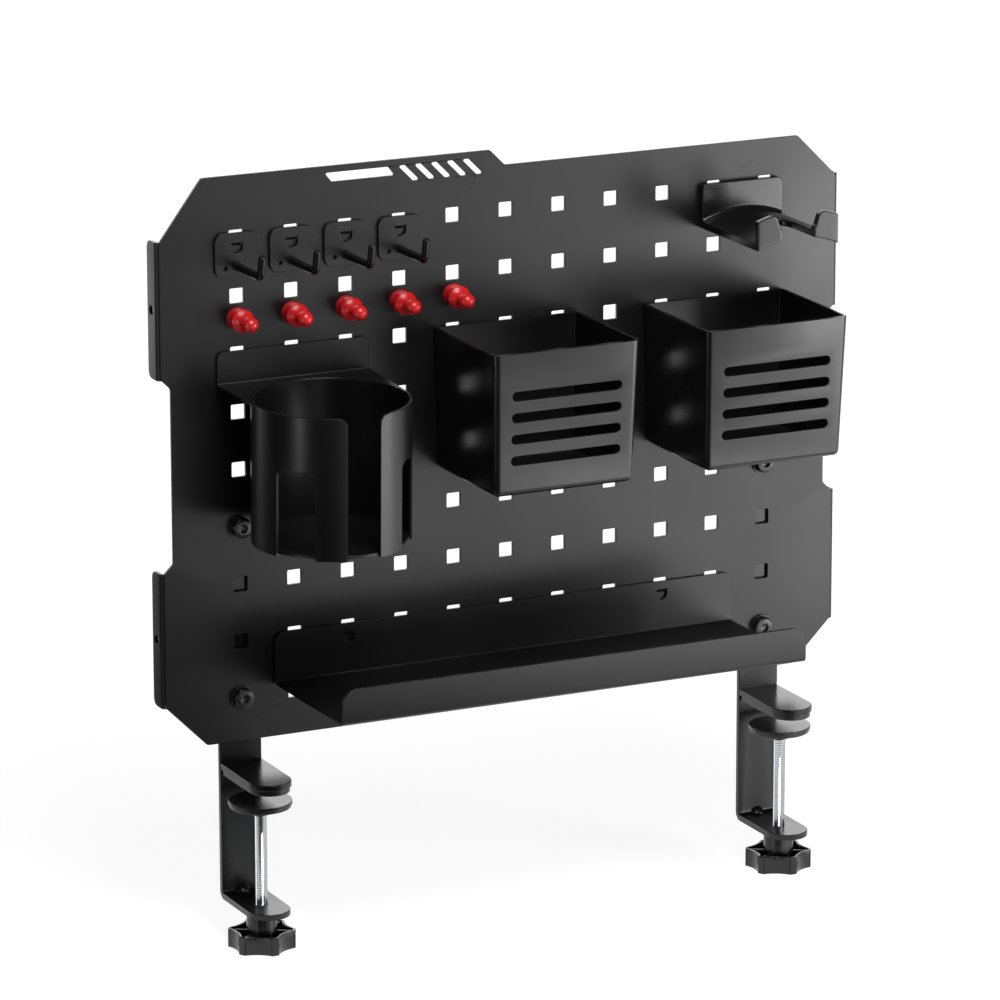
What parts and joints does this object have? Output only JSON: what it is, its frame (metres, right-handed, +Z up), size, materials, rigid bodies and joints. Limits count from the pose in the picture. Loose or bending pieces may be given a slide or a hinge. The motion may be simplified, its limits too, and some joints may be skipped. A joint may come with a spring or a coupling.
{
  "type": "pegboard desk organizer",
  "caption": "Desk-clamped steel pegboard with hooks, magnets, a cup holder, slotted bins, a headphone hanger and a tray that all lift off.",
  "frame": {"origin": "middle of the part's bounding box in X and Y, at the lowest face of the clamp knobs", "axes": "+X to the right as seen from the front, +Y from the front towards the back of the panel, +Z up"},
  "size_m": [0.4906, 0.1258, 0.5053],
  "materials": {
    "powder_coat": "satin black powder coat",
    "black_plastic": "fine matt moulded",
    "black_steel": "black oxide",
    "zinc_steel": "bright zinc",
    "rubber": "matt",
    "red_plastic": "glossy",
    "magnet": "nickel plated"
  },
  "bodies": {
    "frame": {"panel": "powder_coat", "bracket_left": "powder_coat", "bracket_right": "powder_coat", "upper_arm_left": "powder_coat", "upper_arm_right": "powder_coat", "jaw_pad_left": "rubber", "jaw_pad_right": "rubber", "fixing_screws": "black_steel", "fixing_washers": "black_steel", "fixing_nuts": "black_steel"},
    "left_foot": {"facing_left": "rubber", "foot_left": "black_steel", "socket_left": "black_steel"},
    "right_foot": {"facing_right": "rubber", "foot_right": "black_steel", "socket_right": "black_steel"},
    "left_spindle": {"screw_left": "zinc_steel", "knob_left": "black_plastic"},
    "right_spindle": {"screw_right": "zinc_steel", "knob_right": "black_plastic"},
    "cup_holder": {"cup_bracket": "powder_coat", "cup_sleeve": "powder_coat", "cup_floor": "powder_coat"},
    "bin_1": {"bin_left": "black_plastic"},
    "bin_2": {"bin_right": "black_plastic"},
    "hanger": {"headphone_hanger": "black_plastic"},
    "tray_body": {"tray": "powder_coat"},
    "hook_1": {"hook_plate_1": "powder_coat", "hook_rod_1": "powder_coat"},
    "hook_2": {"hook_plate_2": "powder_coat", "hook_rod_2": "powder_coat"},
    "hook_3": {"hook_plate_3": "powder_coat", "hook_rod_3": "powder_coat"},
    "hook_4": {"hook_plate_4": "powder_coat", "hook_rod_4": "powder_coat"},
    "magnet_1": {"magnet_cap_1": "red_plastic", "magnet_disc_1": "magnet"},
    "magnet_2": {"magnet_cap_2": "red_plastic", "magnet_disc_2": "magnet"},
    "magnet_3": {"magnet_cap_3": "red_plastic", "magnet_disc_3": "magnet"},
    "magnet_4": {"magnet_cap_4": "red_plastic", "magnet_disc_4": "magnet"},
    "magnet_5": {"magnet_cap_5": "red_plastic", "magnet_disc_5": "magnet"}
  },
  "joints": [
    {"name": "left_foot_travel", "type": "slide", "parent": "frame", "child": "left_foot", "axis": [0, 0, 1], "range_m": [-0.06, 0]},
    {"name": "left_screw_turn", "type": "hinge", "parent": "left_foot", "child": "left_spindle", "pos_m": [-0.19, 0.01993, 0.0632], "axis": [0, 0, 1], "range_deg": [-17280, 0]},
    {"name": "right_foot_travel", "type": "slide", "parent": "frame", "child": "right_foot", "axis": [0, 0, 1], "range_m": [-0.06, 0]},
    {"name": "right_screw_turn", "type": "hinge", "parent": "right_foot", "child": "right_spindle", "pos_m": [0.19, 0.01993, 0.0632], "axis": [0, 0, 1], "range_deg": [-17280, 0]},
    {"name": "hook_1_lift", "type": "slide", "parent": "frame", "child": "hook_1", "axis": [0, 0, 1], "range_m": [0, 0.005]},
    {"name": "hook_2_lift", "type": "slide", "parent": "frame", "child": "hook_2", "axis": [0, 0, 1], "range_m": [0, 0.005]},
    {"name": "hook_3_lift", "type": "slide", "parent": "frame", "child": "hook_3", "axis": [0, 0, 1], "range_m": [0, 0.005]},
    {"name": "hook_4_lift", "type": "slide", "parent": "frame", "child": "hook_4", "axis": [0, 0, 1], "range_m": [0, 0.005]},
    {"name": "cup_holder_lift", "type": "slide", "parent": "frame", "child": "cup_holder", "axis": [0, 0, 1], "range_m": [0, 0.005]},
    {"name": "bin_1_lift", "type": "slide", "parent": "frame", "child": "bin_1", "axis": [0, 0, 1], "range_m": [0, 0.005]},
    {"name": "bin_2_lift", "type": "slide", "parent": "frame", "child": "bin_2", "axis": [0, 0, 1], "range_m": [0, 0.005]},
    {"name": "hanger_lift", "type": "slide", "parent": "frame", "child": "hanger", "axis": [0, 0, 1], "range_m": [0, 0.005]},
    {"name": "tray_body_lift", "type": "slide", "parent": "frame", "child": "tray_body", "axis": [0, 0, 1], "range_m": [0, 0.005]},
    {"name": "magnet_1_pull", "type": "slide", "parent": "frame", "child": "magnet_1", "axis": [0, -1, 0], "range_m": [0, 0.03]},
    {"name": "magnet_2_pull", "type": "slide", "parent": "frame", "child": "magnet_2", "axis": [0, -1, 0], "range_m": [0, 0.03]},
    {"name": "magnet_3_pull", "type": "slide", "parent": "frame", "child": "magnet_3", "axis": [0, -1, 0], "range_m": [0, 0.03]},
    {"name": "magnet_4_pull", "type": "slide", "parent": "frame", "child": "magnet_4", "axis": [0, -1, 0], "range_m": [0, 0.03]},
    {"name": "magnet_5_pull", "type": "slide", "parent": "frame", "child": "magnet_5", "axis": [0, -1, 0], "range_m": [0, 0.03]}
  ],
  "couplings": [
    {"joint": "left_screw_turn", "follows": "left_foot_travel", "rad_per_m": 5026.5},
    {"joint": "right_screw_turn", "follows": "right_foot_travel", "rad_per_m": 5026.5}
  ]
}
